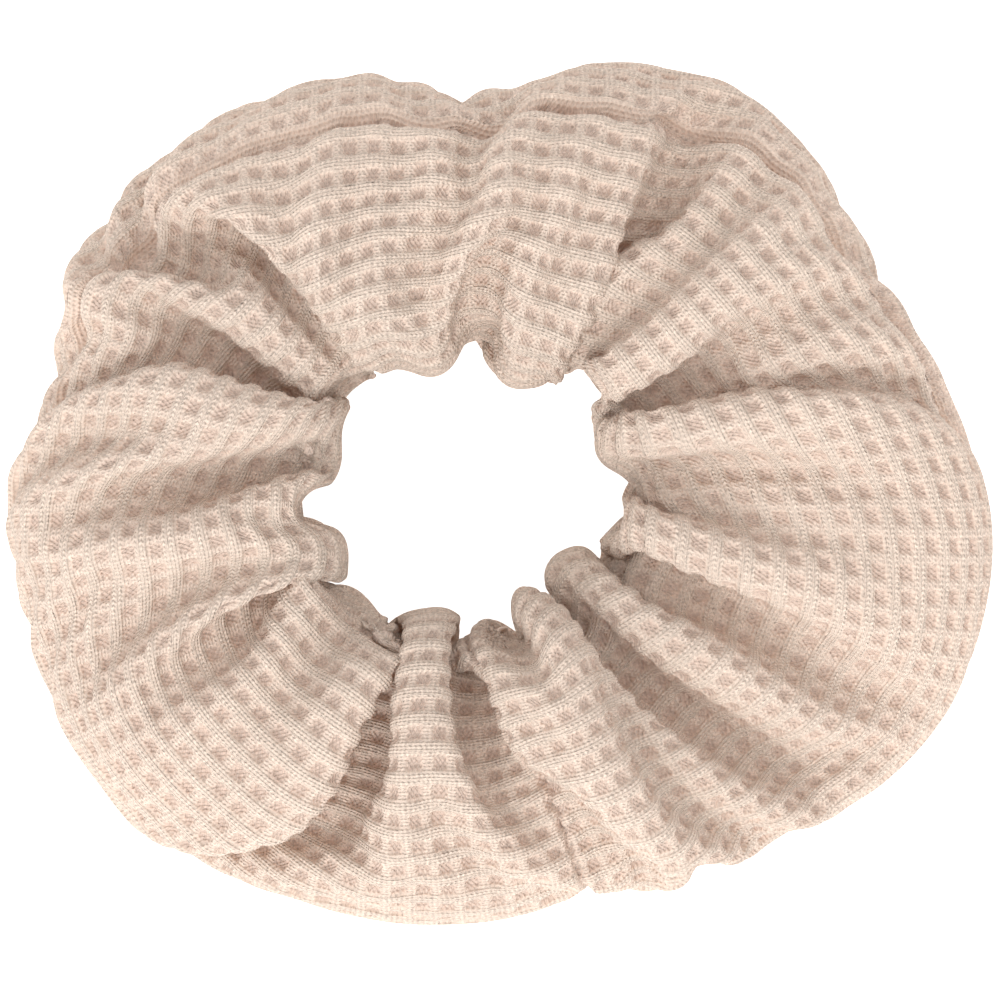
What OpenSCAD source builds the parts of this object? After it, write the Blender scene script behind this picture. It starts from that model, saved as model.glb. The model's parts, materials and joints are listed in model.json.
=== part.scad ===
// Gathered hair scrunchie: a tube of waffle knit closed into a ring round an elastic loop.
// The ring lies flat, +Z up. The origin is the middle of its outline, on the surface it lies on.
// Soft pieces are cut into arcs that stand for the cloth, elastic and thread of one gather each.

/* [Cover] */
// Radius of the hole that the hair goes through
hole_r = 16.5; // [15:0.5:20]
// Height of the gathered tube as it lies
cover_h = 26; // [22:1:30]
// Thickness of the waffle knit
knit_t = 1.6; // [1:0.1:2.2]
// Reach of the cover from the hole's axis, every 15 degrees from +X (each 44 to 70)
reach = [62, 57, 56, 58, 58, 51, 47, 52, 54, 55, 54, 52, 56, 56, 57, 57, 54, 53, 52, 50, 53, 57, 63, 65]; // [44:1:70]

/* [Elastic] */
// Radius of the elastic loop at rest, to the middle of the band
elastic_r = 22.5; // [21:0.5:26]
// Width of the braided band, which stands on edge
elastic_w = 6; // [4:0.5:8]
// Thickness of the braided band
elastic_t = 1.2; // [0.8:0.1:1.6]
// Angle over which the band's two ends are lapped
lap_angle = 12; // [6:1:13]

/* [Seams] */
// Direction of the closing seam, where the tube's two ends are joined
seam_angle = 280; // [270:5:290]
// Thickness of the sewing thread
thread_d = 0.6; // [0.4:0.1:0.8]
// Distance of the lengthwise seam from the cover's outer edge
seam_inset = 6; // [5:0.5:8]
// Length of one stitch of the closing seam
stitch_l = 3; // [2:0.5:4]
// Distance between stitches of the closing seam
stitch_pitch = 4; // [3:0.5:6]

/* [Gathers] */
// Angle of the gap between neighbouring arcs
gap_angle = 0.7; // [0.4:0.1:1]

/* [Hidden] */
gathers = 12;
pitch_angle = 360 / gathers;
last_arc = gathers;
// The wall starts this far inside the hole, which then cuts it to a true cylinder
hole_trim = 0.5;
inner_corner_r = 7.5;
outer_corner_r = 12;
corner_steps = 4;
arc_sections = 5;
clear = 0.3;
reach_step = 360 / len(reach);
thread_sides = 6;
join_stitches = 4;
// Pieces sewn face to face are drawn this far apart
sewn_gap = 0.05;
bore_sides = 96;
stitch_sides = 24;

// Reach at any angle: a smooth curve through the reach list
function wrap(i) = ((i % len(reach)) + len(reach)) % len(reach);
function cover_reach(a) =
    let (i = floor(a / reach_step), t = a / reach_step - i,
         p0 = reach[wrap(i - 1)], p1 = reach[wrap(i)], p2 = reach[wrap(i + 1)], p3 = reach[wrap(i + 2)])
    p1 + 0.5 * t * (p2 - p0 + t * (2 * p0 - 5 * p1 + 4 * p2 - p3 + t * (3 * (p1 - p2) + p3 - p0)));

// The hole's axis is set so that the outline's box is centred on the origin
section_step = pitch_angle / (arc_sections - 1);
outline = [for (a = [seam_angle : section_step : seam_angle + 359.9]) cover_reach(a) * [cos(a), sin(a)]];
outline_x = [for (p = outline) p.x];
outline_y = [for (p = outline) p.y];
hole_x = -(max(outline_x) + min(outline_x)) / 2;
hole_y = -(max(outline_y) + min(outline_y)) / 2;

// Each arc runs half a pitch either side of its gather; the first and last are halves that meet at the closing seam
function arc_start(i) = seam_angle + (i == 0 ? 0 : (i - 0.5) * pitch_angle) + gap_angle / 2;
function arc_end(i) = seam_angle + (i == last_arc ? 360 : (i + 0.5) * pitch_angle) - gap_angle / 2;
function arc_angles(i) = [for (k = [0 : arc_sections - 1])
    arc_start(i) + (arc_end(i) - arc_start(i)) * k / (arc_sections - 1)];

// One corner of the tube's section: an arc of points round a centre
function corner(c, r, from) = [for (k = [0 : corner_steps]) c + r * [cos(from + 90 * k / corner_steps),
                                                                    sin(from + 90 * k / corner_steps)]];
// The tube's section as [distance from the hole's axis, height], drawn in by inset all round
function tube_section(far, inset) =
    let (near_c = hole_r - hole_trim + inner_corner_r, far_c = far - outer_corner_r,
         near_r = inner_corner_r - inset, far_r = outer_corner_r - inset)
    concat(corner([near_c, inner_corner_r], near_r, 180), corner([far_c, outer_corner_r], far_r, 270),
           corner([far_c, cover_h - outer_corner_r], far_r, 0), corner([near_c, cover_h - inner_corner_r], near_r, 90));

function round_section(c, r, sides) = [for (k = [0 : sides - 1]) c + r * [cos(360 * k / sides), sin(360 * k / sides)]];
function on_ring(a, p) = [hole_x + p.x * cos(a), hole_y + p.x * sin(a), p.y];

// Triangles of a strip of quads between ring a and ring b of n points, and of its end
function strip(a, b, n, flip) = [for (k = [0 : n - 1]) let (m = (k + 1) % n)
    each flip ? [[a + k, b + k, b + m], [a + k, b + m, a + m]] : [[a + k, b + m, b + k], [a + k, a + m, b + m]]];

// A hollow tube: the outer skin, the inner skin and the two cut ends
module hollow_sweep(angles, outer_of, inner_of) {
    outer = [for (a = angles) outer_of(a)];
    inner = [for (a = angles) inner_of(a)];
    n = len(outer[0]);
    m = len(angles);
    points = [for (k = [0 : m - 1]) each [for (p = outer[k]) on_ring(angles[k], p)],
              for (k = [0 : m - 1]) each [for (p = inner[k]) on_ring(angles[k], p)]];
    faces = concat([for (k = [0 : m - 2]) each strip(k * n, (k + 1) * n, n, false)],
                   [for (k = [0 : m - 2]) each strip((m + k) * n, (m + k + 1) * n, n, true)],
                   strip(m * n, 0, n, false), strip((m - 1) * n, (2 * m - 1) * n, n, false));
    polyhedron(points, faces, convexity = 6);
}

// A solid strand with flat ends
module solid_sweep(angles, section_of) {
    sections = [for (a = angles) section_of(a)];
    n = len(sections[0]);
    m = len(angles);
    points = [for (k = [0 : m - 1]) each [for (p = sections[k]) on_ring(angles[k], p)]];
    faces = concat([for (k = [0 : m - 2]) each strip(k * n, (k + 1) * n, n, false)],
                   [[for (k = [n - 1 : -1 : 0]) k]], [[for (k = [0 : n - 1]) (m - 1) * n + k]]);
    polyhedron(points, faces, convexity = 4);
}

// Point at a distance s along a closed outline
function walk(pts, s, i = 0) =
    let (a = pts[i], b = pts[(i + 1) % len(pts)], d = norm(b - a))
    s <= d ? a + (b - a) * s / d : walk(pts, s - d, i + 1);
function length_of(pts) = let (steps = [for (i = [0 : len(pts) - 1]) norm(pts[(i + 1) % len(pts)] - pts[i])])
    steps * [for (s = steps) 1];

module cover(i) {
    color("#E6D1C0")
    difference() {
        hollow_sweep(arc_angles(i), function(a) tube_section(cover_reach(a), 0),
                     function(a) tube_section(cover_reach(a), knit_t));
        translate([hole_x, hole_y, -1]) cylinder(r = hole_r, h = cover_h + 2, $fn = bore_sides);
    }
}

module band(i, r) {
    translate([hole_x, hole_y, 0])
    rotate_extrude(start = arc_start(i), angle = arc_end(i) - arc_start(i), $fn = bore_sides)
    translate([r - elastic_t / 2, (cover_h - elastic_w) / 2]) square([elastic_t, elastic_w]);
}

module elastic(i) {
    color("#F4F0EA") band(i, elastic_r);
}

// The lapped end of the band lies against the outside of the loop
module elastic_lap() {
    color("#F4F0EA")
    translate([hole_x, hole_y, 0])
    rotate_extrude(start = arc_start(0), angle = lap_angle, $fn = bore_sides)
    translate([elastic_r + elastic_t / 2 + sewn_gap, (cover_h - elastic_w) / 2]) square([elastic_t, elastic_w]);
}

// Upright bar-tack stitches over the lap
module elastic_join() {
    color("#FFFFFF")
    translate([hole_x, hole_y, 0])
    for (k = [1 : join_stitches])
        rotate(arc_start(0) + lap_angle * k / (join_stitches + 1))
        translate([elastic_r + 1.5 * elastic_t + thread_d / 2 + 2 * sewn_gap, 0, cover_h / 2])
        cylinder(d = thread_d, h = elastic_w - 1, center = true, $fn = stitch_sides);
}

// Thread of the lengthwise seam, just under the knit near the outer edge
module seam_thread(i) {
    far_r = outer_corner_r - knit_t - clear - thread_d / 2;
    out = outer_corner_r - seam_inset;
    z = cover_h - outer_corner_r + sqrt(far_r * far_r - out * out);
    color("#D9C2B1")
    solid_sweep(arc_angles(i), function(a) round_section([cover_reach(a) - seam_inset, z], thread_d / 2, thread_sides));
}

// Stitches of the closing seam, each crossing from one end of the tube to the other, all round the tube
module closing_stitches() {
    loop = tube_section(cover_reach(seam_angle), knit_t + 2 * clear + thread_d / 2);
    around = length_of(loop);
    count = floor(around / stitch_pitch);
    color("#D9C2B1")
    translate([hole_x, hole_y, 0]) rotate(seam_angle)
    for (k = [0 : count - 1]) {
        p = walk(loop, around * k / count);
        translate([p.x, 0, p.y]) rotate([90, 0, 0]) cylinder(d = thread_d, h = stitch_l, center = true, $fn = stitch_sides);
    }
}

function two_digits(i) = i < 10 ? str("0", i) : str(i);
function arc_name(piece, i) = str(piece, "_", i == 0 ? "start" : i == last_arc ? "end" : two_digits(i));

for (i = [0 : last_arc]) {
    cover(i);
    elastic(i);
    seam_thread(i);
}
closing_stitches();
elastic_lap();
elastic_join();
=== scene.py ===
import json
import math

import bpy
import numpy as np
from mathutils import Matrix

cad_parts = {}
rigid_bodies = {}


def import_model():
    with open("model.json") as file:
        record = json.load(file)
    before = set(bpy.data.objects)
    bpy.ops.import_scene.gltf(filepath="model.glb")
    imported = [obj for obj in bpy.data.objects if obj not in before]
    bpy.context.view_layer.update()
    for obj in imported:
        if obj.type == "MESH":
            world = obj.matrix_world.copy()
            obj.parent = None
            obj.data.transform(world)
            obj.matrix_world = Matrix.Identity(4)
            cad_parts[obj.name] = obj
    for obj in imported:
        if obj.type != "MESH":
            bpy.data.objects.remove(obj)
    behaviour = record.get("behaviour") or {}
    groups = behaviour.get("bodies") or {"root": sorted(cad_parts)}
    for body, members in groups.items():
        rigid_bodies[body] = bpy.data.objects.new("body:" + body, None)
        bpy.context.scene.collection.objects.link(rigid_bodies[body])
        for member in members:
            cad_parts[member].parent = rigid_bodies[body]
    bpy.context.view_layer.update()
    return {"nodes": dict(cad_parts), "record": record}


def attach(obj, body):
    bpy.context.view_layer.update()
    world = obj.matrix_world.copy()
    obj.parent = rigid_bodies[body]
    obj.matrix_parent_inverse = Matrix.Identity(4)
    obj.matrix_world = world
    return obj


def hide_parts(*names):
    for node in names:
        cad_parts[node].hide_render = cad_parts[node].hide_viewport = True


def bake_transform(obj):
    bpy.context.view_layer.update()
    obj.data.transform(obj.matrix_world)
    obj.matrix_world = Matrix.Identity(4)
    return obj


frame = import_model()
scene = bpy.context.scene
mm = 0.001  # shapes are worked out in mm and stored in metres

# what the frame says: the hole's axis, the bodies in order round the ring, and their directions
record = frame["record"]
holeMount = next(m for m in record["mounts"] if m["name"] == "hair_hole")
holeX, holeY = holeMount["pos_m"][0] / mm, holeMount["pos_m"][1] / mm
links = record["behaviour"]["joints"]
bodyNames = [links[0]["parent"]] + [link["child"] for link in links]
bodyStep = 360 / len(links)
firstAxis = links[0]["axis"]
seamAngle = math.degrees(math.atan2(firstAxis[1], firstAxis[0])) - 90 - bodyStep / 2


# The camera looks straight down, its distance worked out from the width it frames, in mm. The walls are
# brighter towards one side, where a soft box stands close by, with a weak card opposite: name, place in
# metres, size in metres and power in watts.
studio = dict(frameWide=120, lens=100, aimX=0.1, aimY=-0.2, aimHigh=12, floorHalf=3.0, floorGlow=0.75,
              brightSide=(-0.25, -0.97, 0), wallDark=0.76, wallBright=1.78,
              lamps=[("softBox", (-0.3, -0.88, 0.75), 0.5, 6.2), ("fillCard", (0.4, 0.6, 0.6), 0.5, 0.4)])


def makeCamera():
    camera = bpy.data.objects.new("overhead", bpy.data.cameras.new("overhead"))
    scene.collection.objects.link(camera)
    camera.data.lens = studio["lens"]
    camera.data.clip_end = 20
    distance = studio["frameWide"] * studio["lens"] / camera.data.sensor_width
    camera.location = (studio["aimX"] * mm, studio["aimY"] * mm, (studio["aimHigh"] + distance) * mm)
    scene.camera = camera


makeCamera()


def srgb(hexColour):
    # an sRGB hex value turned to linear light
    parts = [int(hexColour[i:i + 2], 16) / 255 for i in (1, 3, 5)]
    linear = [p / 12.92 if p <= 0.04045 else ((p + 0.055) / 1.055) ** 2.4 for p in parts]
    return (*linear, 1.0)


def addNode(owner, kind, links=(), **settings):
    # one node, its settings, and its links as (input, output socket) or (input, value)
    node = owner.node_tree.nodes.new(kind)
    for key, value in settings.items():
        setattr(node, key, value)
    for socket, source in links:
        if isinstance(source, bpy.types.NodeSocket):
            owner.node_tree.links.new(source, node.inputs[socket])
        else:
            node.inputs[socket].default_value = source
    return node


def newMaterial(name):
    material = bpy.data.materials.new(name)
    material.use_nodes = True
    return material, material.node_tree.nodes["Principled BSDF"]


def makeFloor():
    material, shader = newMaterial("lightTable")
    shader.inputs["Base Color"].default_value = srgb("#FFFFFF")
    shader.inputs["Roughness"].default_value = 0.9
    shader.inputs["Emission Color"].default_value = srgb("#FFFFFF")
    shader.inputs["Emission Strength"].default_value = studio["floorGlow"]
    half = studio["floorHalf"]
    mesh = bpy.data.meshes.new("lightTableTop")
    corners = [(-half, -half, 0), (half, -half, 0), (half, half, 0), (-half, half, 0)]
    mesh.from_pydata(corners, [], [(0, 1, 2, 3)])
    mesh.materials.append(material)
    floor = bpy.data.objects.new("lightTableTop", mesh)
    scene.collection.objects.link(floor)


def makeStudio():
    makeFloor()
    walls = bpy.data.worlds.new("studioWalls")
    scene.world = walls
    walls.use_nodes = True
    way = addNode(walls, "ShaderNodeTexCoord").outputs["Generated"]
    towards = addNode(walls, "ShaderNodeVectorMath", [(0, way), (1, studio["brightSide"])],
                      operation="DOT_PRODUCT").outputs["Value"]
    level = addNode(walls, "ShaderNodeMapRange", [("Value", towards), ("From Min", -1),
                                                  ("To Min", studio["wallDark"]),
                                                  ("To Max", studio["wallBright"])]).outputs[0]
    background = walls.node_tree.nodes["Background"]
    background.inputs["Color"].default_value = srgb("#FFFFFF")
    walls.node_tree.links.new(level, background.inputs["Strength"])
    for name, place, size, power in studio["lamps"]:
        light = bpy.data.lights.new(name, "AREA")
        light.size = size
        light.energy = power
        lamp = bpy.data.objects.new(name, light)
        lamp.location = place
        aim = np.array(place) / -np.linalg.norm(place)
        lamp.rotation_euler = (math.acos(-aim[2]), 0, math.atan2(aim[1], aim[0]) - math.pi / 2)
        scene.collection.objects.link(lamp)
    scene.view_settings.view_transform = "Standard"


makeStudio()
print("studio ready")

# The cloth is a strip of waffle knit, sewn into a tube and gathered. Its size is in mm, and the ribs drift
# by half a rib along it, so they miss at the closing seam.
strip = dict(length=374, around=100, cells=123.4, ribs=33, ribDrift=0.5)

# Each valley: angle from +X at the hole, half way out and at the outer edge, its depth in mm at the same
# three places, and how far in mm the hump after it leans over the next valley
gather = dict(
    valleys=[(7, 3, 0, 2, 1, 0, 5), (24, 20, 11, 3, 7, 4, 0), (33, 28, 30, 3, 5, 0, 2),
             (43, 46, 46, 4, 4, 0, -2), (56, 57, 60, 3, 10, 4, -4), (85, 84, 86, 3, 0.5, 0, 13),
             (118, 127, 165, 3, 5.5, 0, 0), (151, 156, 168, 3, 4, 0, -5), (190, 177, 169, 3, 5, 1, 0),
             (210, 203, 197, 3, 2.5, 0, 9), (236, 246, 237, 3, 10, 4, 0), (266, 272, 276, 2, 1.5, 0, 0),
             (308, 315, 320, 3, 7, 2.5, -2), (348, 336, 333, 1, 4, 0.5, -4)],
    # local dents of the upper side, and swellings where the depth is negative: angle, how far out from 0
    # at the hole to 1 at the outer edge, half widths in degrees and in the same measure, depth in mm
    dents=[(146, 0.6, 12, 0.18, 4), (241, 0.38, 4, 0.15, 5), (327, 0.4, 5, 0.25, -2.5),
           (326, 0.75, 8, 0.2, 4), (268, 0.4, 5, 0.15, -2), (249, 0.6, 7, 0.35, 2.5),
           (0, 0.7, 18, 0.3, -2), (24, 0.38, 6, 0.07, 5), (38, 0.26, 7, 0.06, 5),
           (36, 0.45, 4, 0.08, 4), (30, 0.2, 4, 0.06, 3)],
    # the hole's edge in mm from its axis, every 15 degrees
    holeEdge=[19.5, 17, 18, 18.5, 15, 13, 14, 14, 18, 18.5, 18, 17,
              18, 15.5, 17.5, 19, 18, 15.5, 15, 14, 13, 13, 15, 18.5],
    # the lengthwise seam, in degrees round the tube from its outer edge upwards, every 30 degrees
    seamSide=[0, 25, 38, 40, 38, 34, 8, -20, -25, -25, -25, -20],
    reachSteps=24, reachIn=1.4, holeIn=1.5,  # how much smaller than the cover the folds start, in mm
    flattest=9.5, tallest=13.5, humpPower=0.6,  # half the section's height in mm, and how round a hump is
    seamSkew=(-8, 3, 8), skewWidth=25,  # the closing seam's slant in degrees, and how far it spreads
)

# The cloth solver: points along and around, rounds, and the closest that two layers come, in mm. Then the
# floor's height, how firmly the hole's edge holds and how it is scalloped, swollen and rounded off, the
# room that the elastic's loop needs inwards, outwards and upwards, and the last rounds that even out.
# The start is jittered, and pulls the cloth everywhere, more at the outer edge and on top. Close layers
# are looked for every searchEvery rounds, up to watch times thick apart, and pushed apart.
settle = dict(along=156, around=40, rounds=700, quickRounds=250, thick=2.1, floor=0.9,
              holeHold=0.35, facing=0.8, scallop=0.7, swell=1.2, rimRound=5, rimFlat=2, rimTall=12,
              loopRoom=(1.2, 2.4, 1.8), evenRounds=60, evening=0.1, seed=3, jitter=0.15,
              pull=(0.006, 0.02, 0.006), pullFade=0.6, searchEvery=10, watch=1.3, push=0.2)


def periodic(values, angles):
    # smooth closed curve through evenly spaced values: Catmull-Rom between neighbours
    values = np.asarray(values, float)
    n = len(values)
    x = np.asarray(angles) % 360 / (360 / n)
    i = np.floor(x).astype(int)
    t = x - i
    p0, p1, p2, p3 = (values[(i + k) % n] for k in (-1, 0, 1, 2))
    return p1 + 0.5 * t * (p2 - p0 + t * (2 * p0 - 5 * p1 + 4 * p2 - p3 + t * (3 * (p1 - p2) + p3 - p0)))


def nodePoints(prefix):
    # every vertex of the CAD nodes whose names start with prefix, as its distance from the hole's axis,
    # its angle round it and its height
    points = []
    for name in (n for n in frame["nodes"] if n.startswith(prefix)):
        mesh = bpy.data.objects[name].data
        co = np.empty(len(mesh.vertices) * 3)
        mesh.vertices.foreach_get("co", co)
        points.append(co.reshape(-1, 3) / mm)
    x, y, z = np.vstack(points).T
    return np.hypot(x - holeX, y - holeY), np.degrees(np.arctan2(y - holeY, x - holeX)), z


def measuredReach(steps):
    # how far the CAD cover reaches from the hole's axis in each direction
    far, angle, _ = nodePoints("cover_")
    slot = np.round(angle / (360 / steps)).astype(int) % steps
    reach = np.zeros(steps)
    np.maximum.at(reach, slot, far)
    return reach


def through(hole, middle, edge, out):
    # parabola through three values at out = 0, 0.5 and 1
    return hole + out * (4 * middle - 3 * hole - edge) + out ** 2 * (2 * hole + 2 * edge - 4 * middle)


def folds(theta, phi):
    # How far the cloth is drawn in and how far it leans sideways. Between two valleys the surface is a
    # rounded hump, sin(pi p) to a power, and in a valley it lies the valley's depth below that.
    out = (1 + np.cos(phi)) / 2
    lines = [through(*v[:3], out) for v in gather["valleys"]]
    depths = [through(*v[3:6], out) for v in gather["valleys"]]
    drawn = np.zeros(np.broadcast(theta, phi).shape)
    lean = np.zeros_like(drawn)
    for k, valley in enumerate(gather["valleys"]):
        after = (k + 1) % len(lines)
        width = (lines[after] - lines[k]) % 360
        along = (theta - lines[k]) % 360
        p = np.clip(along / width, 0, 1)
        here = along < width
        depth = np.maximum(depths[k] + (depths[after] - depths[k]) * p, 0)
        drawn = np.where(here, depth * (1 - np.sin(np.pi * p) ** gather["humpPower"]), drawn)
        side = p if valley[6] > 0 else 1 - p
        lean = np.where(here, valley[6] * np.sin(np.pi * side ** 2) ** 2, lean)
    for angle, place, wide, deep, depth in gather["dents"]:
        aside = ((theta - angle + 180) % 360 - 180) / wide
        drawn += depth * np.exp(-aside ** 2 - ((out - place) / deep) ** 2) * (np.sin(phi) > -0.2)
    return drawn, lean


def gatheredRing(nAlong, nAround):
    # The tube's section is an ellipse from the hole's edge to the cover's reach, as tall as the
    # strip's width allows. The folds draw it in along the section's normal and lean its upper side.
    turn = (360 * np.arange(nAlong) / nAlong)[:, None]
    phi = (2 * np.pi * np.arange(nAround) / nAround)[None, :]
    phi = np.radians(periodic(gather["seamSide"], seamAngle + turn)) + phi
    skew = through(*gather["seamSkew"], (1 + np.cos(phi)) / 2)
    theta = seamAngle + turn + skew * np.exp(-(np.minimum(turn, 360 - turn) / gather["skewWidth"]) ** 2)
    far = periodic(measuredReach(gather["reachSteps"]) - gather["reachIn"], theta)
    near = periodic(gather["holeEdge"], theta) + gather["holeIn"]
    a = (far - near) / 2
    b = np.clip(strip["around"] / np.pi - a, gather["flattest"], gather["tallest"])
    nr, nz = np.cos(phi) / a, np.sin(phi) / b
    size = np.hypot(nr, nz)
    drawn, lean = folds(theta, phi)
    r = (far + near) / 2 + a * np.cos(phi) - drawn * nr / size
    z = b + b * np.sin(phi) - drawn * nz / size
    angle = np.radians(theta) + lean * np.maximum(np.sin(phi), 0) / r
    return np.stack([holeX + r * np.cos(angle), holeY + r * np.sin(angle), z], axis=-1), phi


def closePairs(points, near, n, m):
    # every two points nearer than near, apart from close neighbours in the cloth itself
    size = (points * points).sum(1)
    firsts, seconds = [], []
    block = 1600
    for a in range(0, len(points), block):
        gap = size[a:a + block, None] + size[None, :] - 2 * points[a:a + block] @ points.T
        i, j = np.nonzero(gap < near * near)
        keep = i + a < j
        firsts.append(i[keep] + a)
        seconds.append(j[keep])
    i, j = np.concatenate(firsts), np.concatenate(seconds)
    di, dj = np.abs(i // m - j // m), np.abs(i % m - j % m)
    apart = np.minimum(di, n - di) + np.minimum(dj, m - dj) > 2
    return i[apart], j[apart]


def settleCloth(start, phi, elastic):
    # Position-based cloth: threads along, around and across the strip keep their length, longer
    # threads keep a fold's bend round, the cloth can't pass through itself, the floor or the elastic,
    # and a weak pull keeps it near the shape it started from. The last rounds even out the finest
    # crumples where it turns down into the hole.
    n, m = start.shape[:2]
    along, around = strip["length"] / n, strip["around"] / m
    across = math.hypot(along, around)
    # steps along and around, length at rest, stiffness, and whether a thread only pushes
    threads = [(1, 0, along, 0.38, False), (0, 1, around, 0.38, False),
               (1, 1, across, 0.12, False), (1, -1, across, 0.12, False),
               (2, 0, 1.86 * along, 0.25, True), (0, 2, 1.86 * around, 0.25, True),
               (4, 0, 3.0 * along, 0.12, True), (0, 4, 3.0 * around, 0.12, True)]
    outward, upward = np.clip(np.cos(phi), 0, 1), np.clip(np.sin(phi), 0, 1)
    everywhere, outside, onTop = settle["pull"]
    pull = (everywhere + outside * outward ** 2 + onTop * upward)[..., None].astype(np.float32)
    towardsHole = settle["evening"] * np.clip((-np.cos(phi) - 0.5) / 0.3, 0, 1)
    towardsHole = towardsHole[..., None].astype(np.float32)
    target = start.astype(np.float32)
    jitter = np.random.default_rng(settle["seed"]).normal(0, settle["jitter"], start.shape)
    cloth = target + jitter.astype(np.float32)
    rounds = settle["rounds"]
    for k in range(rounds):
        move = np.zeros_like(cloth)
        for a, b, rest, stiffness, onlyPush in threads:
            step = np.roll(cloth, (-a, -b), (0, 1)) - cloth
            length = np.sqrt(np.einsum("ijk,ijk->ij", step, step))[..., None] + 1e-6
            stretch = (length - rest) / length
            if onlyPush:
                stretch = np.minimum(stretch, 0)
            step *= 0.5 * stiffness * stretch
            move += step
            move -= np.roll(step, (a, b), (0, 1))
        cloth += move
        cloth += pull * (1 - settle["pullFade"] * k / rounds) * (target - cloth)
        if k % settle["searchEvery"] == 0:
            i, j = closePairs(cloth.reshape(-1, 3), settle["thick"] * settle["watch"], n, m)
        points = cloth.reshape(-1, 3)
        step = points[j] - points[i]
        length = np.sqrt((step * step).sum(1)) + 1e-6
        step *= (settle["push"] * np.minimum(length - settle["thick"], 0) / length)[:, None]
        for axis in range(3):
            points[:, axis] += np.bincount(i, step[:, axis], n * m) - np.bincount(j, step[:, axis], n * m)
        if k >= rounds - settle["evenRounds"]:
            neighbours = sum(np.roll(cloth, step, axis) for step in (1, -1) for axis in (0, 1)) / 4
            cloth += towardsHole * (neighbours - cloth)
        keepOff(cloth, phi, elastic)
    return cloth.astype(float)


def scallopedRim():
    # the hole's edge at each degree, set back in the valleys
    theta = np.arange(360.0)
    drawn, _ = folds(theta, np.full(360, np.pi))
    return periodic(gather["holeEdge"], theta) + settle["scallop"] * drawn - settle["swell"]


holeRim = scallopedRim()


def keepOff(cloth, phi, elastic):
    # The floor, the hair hole and the elastic. Cloth that faces the hole stays between the hole's edge,
    # which is rounded off upwards and downwards, and the loop. The rest passes over or under the loop.
    inner, outer, low, high = elastic
    facesHole = np.cos(phi) < -settle["facing"]
    dx, dy, z = cloth[..., 0] - holeX, cloth[..., 1] - holeY, cloth[..., 2]
    r = np.hypot(dx, dy)
    over = np.clip((np.abs(z - (low + high) / 2) - settle["rimFlat"]) / settle["rimTall"], 0, 1)
    edge = holeRim[np.degrees(np.arctan2(dy, dx)).astype(int) % 360]
    edge = edge + settle["rimRound"] * (1 - np.sqrt(1 - over ** 2))
    scale = 1 + settle["holeHold"] * (np.clip(r, edge, np.where(facesHole, inner, np.inf)) / r - 1)
    cloth[..., 0] = holeX + dx * scale
    cloth[..., 1] = holeY + dy * scale
    near = ~facesHole & (r > inner) & (r < outer)
    cloth[..., 2] = np.where(near & (np.sin(phi) > 0), np.maximum(z, high), z)
    cloth[..., 2] = np.where(near & (np.sin(phi) < 0), np.minimum(z, low), cloth[..., 2])
    cloth[..., 2] = np.maximum(cloth[..., 2], settle["floor"])


def elasticRoom():
    # the elastic loop's section with room round it for the cloth's own thickness
    r, _, z = nodePoints("elastic_0")
    inwards, outwards, upwards = settle["loopRoom"]
    return r.min() - inwards, r.max() + outwards, z.min() - upwards, z.max() + upwards


def resample(grid, count, axis):
    # closed cubic B-spline along one axis, at count even places
    n = grid.shape[axis]
    x = np.arange(count) * n / count
    i = np.floor(x).astype(int)
    t = x - i
    weights = ((1 - t) ** 3 / 6, (3 * t ** 3 - 6 * t ** 2 + 4) / 6,
               (-3 * t ** 3 + 3 * t ** 2 + 3 * t + 1) / 6, t ** 3 / 6)
    shape = [1] * grid.ndim
    shape[axis] = count
    return sum(np.take(grid, (i + k - 1) % n, axis=axis) * w.reshape(shape) for k, w in enumerate(weights))


def gridNormals(grid):
    # cross product of the differences along and around a closed grid
    du = np.roll(grid, -1, 0) - np.roll(grid, 1, 0)
    dv = np.roll(grid, -1, 1) - np.roll(grid, 1, 1)
    normal = np.cross(du, dv)
    return normal / (np.linalg.norm(normal, axis=-1, keepdims=True) + 1e-12)


# The knit's relief in mm, with a bar's height as a share of a rib's. ribStep and barStep say where their
# sides start and end, on a cosine from 0 in the cell to 1 at their middle. wander is in cells.
relief = dict(samplesPerCell=10, depth=0.74, barHeight=0.62, ribStep=(0.25, 0.7), barStep=(0.3, 0.85),
              wander=0.22, wanderGrid=(62, 16), seamDepth=1.9, seamHalf=1.0, closingDepth=0.8,
              closingHalf=0.7, lowest=0.02)


def smoothStep(low, high, x):
    # 0 up to low, 1 from high, and 3 t^2 - 2 t^3 between
    t = np.clip((x - low) / (high - low), 0, 1)
    return t * t * (3 - 2 * t)


def unevenness(seed, u, v):
    # smooth wandering of the knit's rows, in cells
    coarse = np.random.default_rng(seed).normal(0, relief["wander"], relief["wanderGrid"])
    return resample(resample(coarse, len(u), 0), v.shape[1], 1)


def waffleHeight(u, v):
    # Height of the knit above its cells' floors, 0 to 1: raised ribs along the strip and lower bars
    # across it. The two seams press a groove into it.
    ribPhase = v * strip["ribs"] + strip["ribDrift"] * u + unevenness(1, u, v)
    barPhase = u * strip["cells"] + unevenness(2, u, v)
    rib = smoothStep(*relief["ribStep"], 0.5 + 0.5 * np.cos(2 * np.pi * ribPhase))
    bar = smoothStep(*relief["barStep"], 0.5 + 0.5 * np.cos(2 * np.pi * barPhase)) * relief["barHeight"]
    return 1 - (1 - rib) * (1 - bar)


def grooves(u, v):
    # depth in mm of the lengthwise seam at v = 0 and the closing seam at u = 0
    fromSeam = np.minimum(v, 1 - v) * strip["around"]
    fromClosing = np.minimum(u, 1 - u) * strip["length"]
    return (relief["seamDepth"] * np.exp(-(fromSeam / relief["seamHalf"]) ** 2)
            + relief["closingDepth"] * np.exp(-(fromClosing / relief["closingHalf"]) ** 2))


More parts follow.
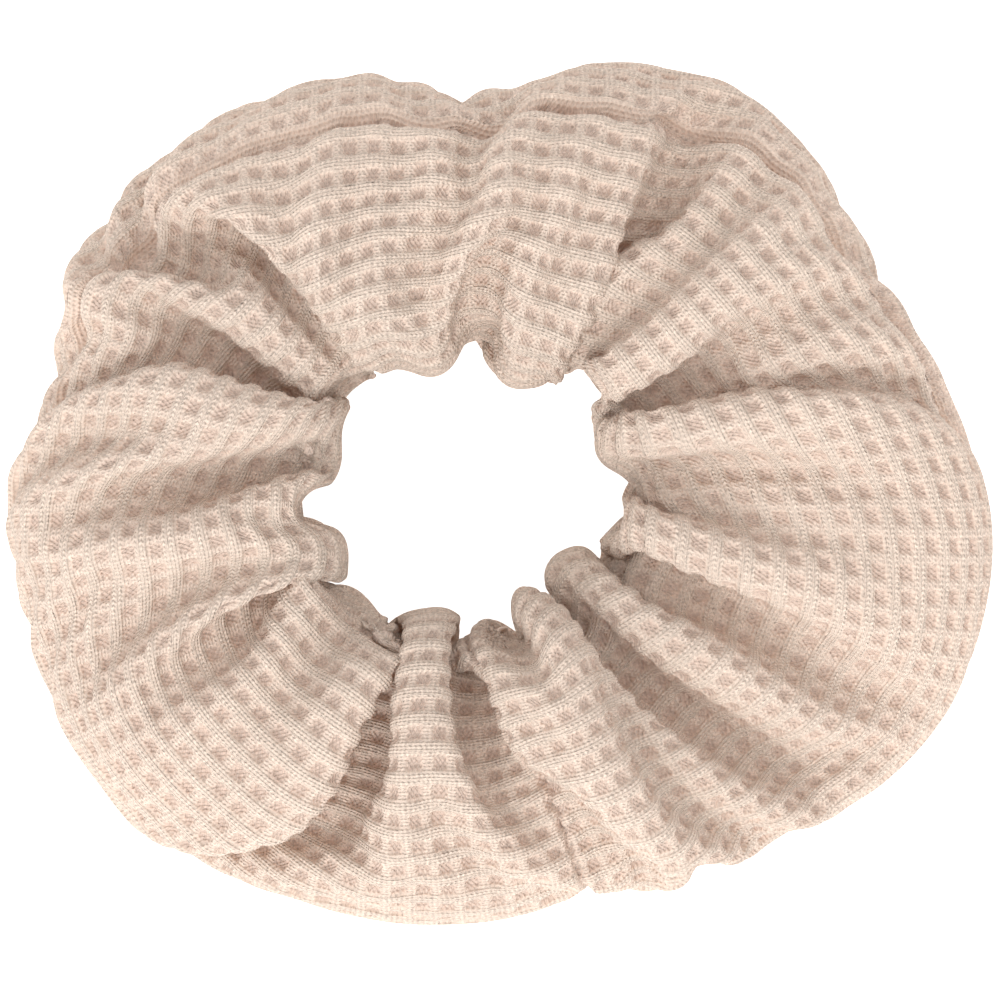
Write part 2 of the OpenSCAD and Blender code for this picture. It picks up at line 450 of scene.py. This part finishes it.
start, phi = gatheredRing(settle["along"], settle["around"])
settled = settleCloth(start, phi, elasticRoom())
print("cloth settled")

fineAlong = int(strip["cells"]) * relief["samplesPerCell"]
fineAround = int(strip["ribs"]) * relief["samplesPerCell"]
smooth = resample(resample(settled, fineAlong, 0), fineAround, 1)
normals = gridNormals(smooth)
u = (np.arange(fineAlong) / fineAlong)[:, None]
v = (np.arange(fineAround) / fineAround)[None, :]
height = waffleHeight(u, v)
surface = smooth + normals * ((height - 0.5) * relief["depth"] - grooves(u, v))[..., None]
surface[..., 2] = np.maximum(surface[..., 2], relief["lowest"])
surfaceNormals = gridNormals(surface)
print("waffle relief", surface.shape)


# the cells' floors get a darker colour than the ribs: painted shade in the recesses
colours = dict(shadedCellFloor="#E7D1C2", rib="#EFDDCD", elastic="#F2EEE8", thread="#D9C2B1", joinThread="#F6F5F3")
# The knit's stitches: 5 rows along and 4 wales across each cell, so a stitch is 0.6 mm tall and 0.75 mm
# wide. Fibres are 0.4 mm apart, coarser than real lint, so that they show. Bump heights are in metres, and
# fleck and drift are how dark and how bright the fibres and the wider clouds make the yarn.
# lines is how much the yarn's colour is painted lighter on its raised stitches and darker in their hollows:
# painted highlight and shade
stitch = dict(rows=5, wales=4, slant=1.2, legs=0.45, cords=0.55, knobs=0.9, lines=0.045, height=0.00018,
              fibreScale=2400.0, fibreHeight=0.00022, fleck=(0.76, 1.19), cloudScale=60.0, drift=(0.96, 1.03),
              through=0.18, glow="#F0CDB8")


def makeKnit():
    # Brushed cotton waffle knit: soft and matte, with fuzz. Two wales of V stitches run along each rib,
    # and the cells' floors show the knobbly backs of stitches and are coloured a little darker as painted
    # shade.
    material, shader = newMaterial("waffleKnitCotton")
    # the knit's height per point, lower in the seams' grooves, sets its painted shade and which bump pattern
    # shows
    cell = addNode(material, "ShaderNodeAttribute", attribute_name="heightWithPaintedShade").outputs["Fac"]
    uv = addNode(material, "ShaderNodeUVMap", uv_map="strip")
    axes = addNode(material, "ShaderNodeSeparateXYZ", [(0, uv.outputs[0])])

    def maths(operation, *values):
        return addNode(material, "ShaderNodeMath", list(enumerate(values)), operation=operation).outputs[0]

    row = maths("MULTIPLY", axes.outputs[0], stitch["rows"] * strip["cells"] / strip["length"])
    wale = maths("MULTIPLY_ADD", axes.outputs[0], stitch["wales"] * strip["ribDrift"] / strip["length"],
                 maths("MULTIPLY", axes.outputs[1], stitch["wales"] * strip["ribs"] / strip["around"]))
    leg = maths("PINGPONG", wale, 0.5)
    cords = maths("COSINE", maths("MULTIPLY", wale, 4 * math.pi))
    slant = maths("SINE", maths("MULTIPLY", maths("MULTIPLY_ADD", leg, stitch["slant"], row), 2 * math.pi))
    stitches = maths("MULTIPLY_ADD", slant, stitch["legs"], maths("MULTIPLY", cords, stitch["cords"]))
    knobs = maths("MULTIPLY", maths("SINE", maths("MULTIPLY", row, 2 * math.pi)),
                  maths("SINE", maths("MULTIPLY", wale, 2 * math.pi)))
    backs = maths("MULTIPLY", knobs, stitch["knobs"])
    yarn = addNode(material, "ShaderNodeMix", [(0, cell), (2, backs), (3, stitches)]).outputs[0]
    place = addNode(material, "ShaderNodeTexCoord").outputs["Object"]
    fibre = addNode(material, "ShaderNodeTexNoise", [("Vector", place), ("Scale", stitch["fibreScale"]),
                                                     ("Detail", 4.0), ("Roughness", 0.7)]).outputs["Fac"]
    cloud = addNode(material, "ShaderNodeTexNoise", [("Vector", place), ("Scale", stitch["cloudScale"]),
                                                     ("Detail", 2.0)]).outputs["Fac"]
    # painted shade: the colour runs from the darker cells' floors up to the ribs
    shadeRamp = addNode(material, "ShaderNodeValToRGB", [(0, cell)])
    shadeRamp.color_ramp.elements[0].color = srgb(colours["shadedCellFloor"])
    shadeRamp.color_ramp.elements[1].color = srgb(colours["rib"])

    def spread(noise, low, high):
        # the noise's middle range, 0.3 to 0.7, taken to a range of brightness
        sockets = list(enumerate((noise, 0.3, 0.7, low, high)))
        return addNode(material, "ShaderNodeMapRange", sockets).outputs[0]

    fleck = spread(fibre, *stitch["fleck"])
    drift = spread(cloud, *stitch["drift"])
    # painted shade and highlight: the yarn is coloured a little darker where its stitch bump is low and
    # lighter where it is high; fleck and drift are its own uneven tone
    lines = maths("MULTIPLY_ADD", yarn, stitch["lines"], 0.975)
    toneAndShade = maths("MULTIPLY", maths("MULTIPLY", fleck, drift), lines)
    tint = addNode(material, "ShaderNodeVectorMath", [(0, shadeRamp.outputs[0]), ("Scale", toneAndShade)],
                   operation="SCALE")
    knitBump = addNode(material, "ShaderNodeBump", [("Height", yarn), ("Strength", 0.9),
                                                    ("Distance", stitch["height"])])
    fuzz = addNode(material, "ShaderNodeBump", [("Height", fibre), ("Normal", knitBump.outputs[0]),
                                                ("Strength", 0.6), ("Distance", stitch["fibreHeight"])])
    material.node_tree.links.new(tint.outputs[0], shader.inputs["Base Color"])
    material.node_tree.links.new(fuzz.outputs[0], shader.inputs["Normal"])
    # some light passes through the knit, and comes out warmer
    glow = addNode(material, "ShaderNodeBsdfTranslucent", [("Color", srgb(stitch["glow"]))])
    both = addNode(material, "ShaderNodeMixShader", [(0, stitch["through"]), (1, shader.outputs[0]),
                                                     (2, glow.outputs[0])])
    output = material.node_tree.nodes["Material Output"]
    material.node_tree.links.new(both.outputs[0], output.inputs["Surface"])
    shader.inputs["Roughness"].default_value = 0.95
    shader.inputs["Specular IOR Level"].default_value = 0.2
    shader.inputs["Sheen Weight"].default_value = 0.3
    shader.inputs["Sheen Roughness"].default_value = 0.45
    shader.inputs["Sheen Tint"].default_value = srgb("#FFF0E4")
    return material


def makeThread(name, colour, roughness):
    # spun thread or braid: matte, with a slight sheen from its fibres
    material, shader = newMaterial(name)
    shader.inputs["Base Color"].default_value = srgb(colour)
    shader.inputs["Roughness"].default_value = roughness
    shader.inputs["Sheen Weight"].default_value = 0.2
    return material


knit = makeKnit()
braid = makeThread("braidedElastic", colours["elastic"], 0.7)
seamThread = makeThread("spunSeamThread", colours["thread"], 0.6)
joinThread = makeThread("spunJoinThread", colours["joinThread"], 0.6)


def holeAngle(points):
    # angle round the hole from the closing seam, 0 to 360
    return (np.degrees(np.arctan2(points[..., 1] - holeY, points[..., 0] - holeX)) - seamAngle) % 360


def closedQuads(n, m):
    # the faces of a grid that closes both ways
    i, j = np.arange(n)[:, None], np.arange(m)[None, :]
    i2, j2 = (i + 1) % n, (j + 1) % m
    return np.stack([i * m + j, i2 * m + j, i2 * m + j2, i * m + j2], axis=-1).reshape(-1, 4)


def addPiece(name, vertices, faces, material):
    mesh = bpy.data.meshes.new(name)
    mesh.from_pydata(vertices * mm, [], faces)
    mesh.polygons.foreach_set("use_smooth", np.ones(len(faces), bool))
    mesh.materials.append(material)
    piece = bpy.data.objects.new(name, mesh)
    scene.collection.objects.link(piece)
    return piece


def ringSpans(prefix, nodePrefix, points, pointNormals, size, material, shadeHeights=None):
    # A closed grid of points cut into one mesh between each two bodies, each with the whole surface's
    # normals. size is the strip's length and width in mm, which its UVs are measured in.
    n, m = points.shape[:2]
    quads = closedQuads(n, m)
    step = np.array(size) / (n, m)
    corner = np.stack(np.divmod(np.arange(n * m), m), axis=-1)[:, None]
    uv = (corner + np.array([[0, 0], [1, 0], [1, 1], [0, 1]])) * step
    flat, flatNormals = points.reshape(-1, 3), pointNormals.reshape(-1, 3)
    spanOf = np.floor(holeAngle(flat[quads].mean(axis=1)) / bodyStep).astype(int) % len(links)
    tags = ["start"] + [f"{k:02d}" for k in range(1, len(links))]
    pieces = []
    for k in range(len(links)):
        chosen = spanOf == k
        used, corners = np.unique(quads[chosen], return_inverse=True)
        piece = addPiece(f"{prefix}_{k + 1:02d}", flat[used], corners.reshape(-1, 4), material)
        mesh = piece.data
        mesh.uv_layers.new(name="strip").data.foreach_set("uv", uv[chosen].astype(np.float32).ravel())
        # the knit's height, lower in the seams' grooves, stored for its painted shade and its bump
        if shadeHeights is not None:
            heights = mesh.attributes.new("heightWithPaintedShade", "FLOAT", "POINT").data
            heights.foreach_set("value", shadeHeights.ravel()[used].astype(np.float32))
        mesh.normals_split_custom_set_from_vertices(flatNormals[used])
        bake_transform(piece)
        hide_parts(f"{nodePrefix}_{tags[k]}", *([f"{nodePrefix}_end"] if k == len(links) - 1 else []))
        piece["flatLength"] = chosen.sum() * step[0] / m
        pieces.append(piece)
    return pieces


def sweep(path, across, upward, section):
    # a section of (across, upward) offsets carried along a path
    return path[:, None] + across[:, None] * section[None, :, :1] + upward[:, None] * section[None, :, 1:]


def alongPath(path):
    # unit tangents of a closed path, by central differences
    step = np.roll(path, -1, 0) - np.roll(path, 1, 0)
    return step / np.linalg.norm(step, axis=1, keepdims=True)


def roundSection(radius, sides):
    # a circle of points
    turn = 2 * np.pi * np.arange(sides) / sides
    return radius * np.stack([np.cos(turn), np.sin(turn)], axis=-1)


# painted shade: the knit's colour is darker in the seams' grooves, as in the cells' floors
paintedShadeHeight = np.clip(height - 0.5 * np.minimum(grooves(u, v), 1), 0, 1)
stripSize = (strip["length"], strip["around"])
for piece in ringSpans("waffleCover", "cover", surface, surfaceNormals, stripSize, knit, paintedShadeHeight):
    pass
print("cover spans made")

# Inside the cover are the seam thread, the elastic and the closing stitches, all in mm. Each thread lies
# deep under its groove and dips by lockstitch at each stitch. The band has a square section, rounded by a
# power, with slanting ribs, braidRelief deep and braidPitch apart.
inner = dict(threadDeep=2.7, threadRadius=0.3, threadSides=8, threadRound=2, lockstitch=0.2,
             braidRelief=0.12, braidPitch=2.4, braidSlant=1.4,
             bandAlong=1080, bandSides=48, bandRound=14, bandPower=6)


def stitchedThread(path, pathNormals, samplesPerStitch):
    # a round section carried along a path under the cloth, which dips as a cosine at each lockstitch
    wave = inner["lockstitch"] * np.cos(2 * np.pi * np.arange(len(path)) / samplesPerStitch)
    path = path - pathNormals * (inner["threadDeep"] + wave)[:, None]
    across = np.cross(alongPath(path), pathNormals)
    return sweep(path, across, pathNormals, roundSection(inner["threadRadius"], inner["threadSides"]))


# the lengthwise seam's thread follows every second sample of the cloth and has a stitch in each cell
threadTube = stitchedThread(smooth[::2, 0], normals[::2, 0], relief["samplesPerCell"] / 2)
threadSize = (strip["length"], inner["threadRound"])
threadNormals = gridNormals(threadTube)
for piece in ringSpans("seamThread", "seam_thread", threadTube, threadNormals, threadSize, seamThread):
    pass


def elasticBand():
    # the loop's flat section with rounded corners, carried round the hole's axis, with slanting ribs
    r, _, z = nodePoints("elastic_0")
    middle, half = (r.min() + r.max()) / 2, (r.max() - r.min()) / 2
    centre, tall = (z.min() + z.max()) / 2, (z.max() - z.min()) / 2
    turn = np.radians(seamAngle + 360 * np.arange(inner["bandAlong"]) / inner["bandAlong"])
    side = 2 * np.pi * np.arange(inner["bandSides"]) / inner["bandSides"]
    power = inner["bandPower"]
    square = (np.abs(np.cos(side)) ** power + np.abs(np.sin(side)) ** power) ** (1 / power)
    a, b = np.cos(side) / square, np.sin(side) / square
    around = middle * turn[:, None]
    ribs = np.cos(2 * np.pi * (around + np.abs(b) * tall * inner["braidSlant"]) / inner["braidPitch"])
    out = middle + a * (half - inner["braidRelief"] * (0.5 - 0.5 * ribs))
    band = np.stack([holeX + out * np.cos(turn)[:, None], holeY + out * np.sin(turn)[:, None],
                     centre + b * tall + 0 * out], axis=-1)
    return band, (middle * 2 * np.pi, inner["bandRound"])


band, bandSize = elasticBand()
for piece in ringSpans("braidedElastic", "elastic", band, gridNormals(band), bandSize, braid):
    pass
for name, material in (("elastic_lap", braid), ("elastic_join", joinThread)):
    bpy.data.objects[name].data.materials.clear()
    bpy.data.objects[name].data.materials.append(material)

# the closing seam's stitches go round the tube under its groove
closingTube = stitchedThread(smooth[0], normals[0], relief["samplesPerCell"])
closingFaces = closedQuads(*closingTube.shape[:2])
closing = addPiece("closingStitches", closingTube.reshape(-1, 3), closingFaces, seamThread)
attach(closing, bodyNames[0])
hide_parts("closing_stitches")
print("inside made")
